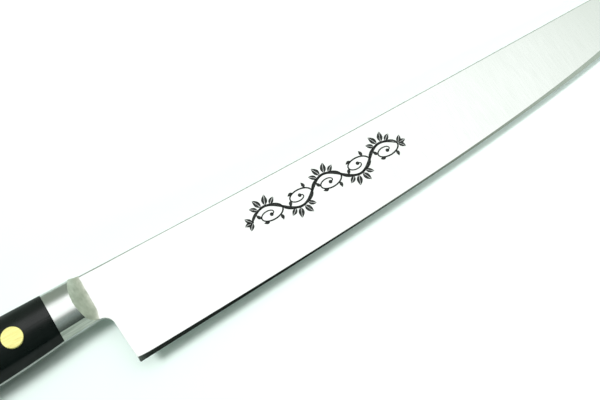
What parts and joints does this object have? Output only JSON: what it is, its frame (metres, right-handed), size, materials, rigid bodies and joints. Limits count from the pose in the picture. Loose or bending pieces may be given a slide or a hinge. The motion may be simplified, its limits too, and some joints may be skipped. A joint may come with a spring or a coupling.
{
  "type": "slicing knife",
  "caption": "Long narrow slicing knife: full-tang steel blade with an asymmetric edge, polished bolsters and a black handle held by flush brass rivets.",
  "frame": {"origin": "middle of the bottom of the knife's box, with the knife lying on its left side", "axes": "+X from the butt to the tip, +Y from the cutting edge to the spine, +Z out of the blade's right face"},
  "size_m": [0.4016, 0.0388, 0.0186],
  "materials": {
    "blade_steel": "satin, fine hairlines",
    "bolster_steel": "mirror polished",
    "handle_wood": "black resin-filled wood, semi-gloss",
    "rivet_brass": "polished flush"
  },
  "bodies": {
    "root": {"blade_and_tang": "blade_steel", "bolster_right": "bolster_steel", "bolster_left": "bolster_steel", "scale_right": "handle_wood", "scale_left": "handle_wood", "front_rivet_pin": "rivet_brass", "front_rivet_socket": "rivet_brass", "middle_rivet_pin": "rivet_brass", "middle_rivet_socket": "rivet_brass", "rear_rivet_pin": "rivet_brass", "rear_rivet_socket": "rivet_brass"}
  },
  "joints": []
}
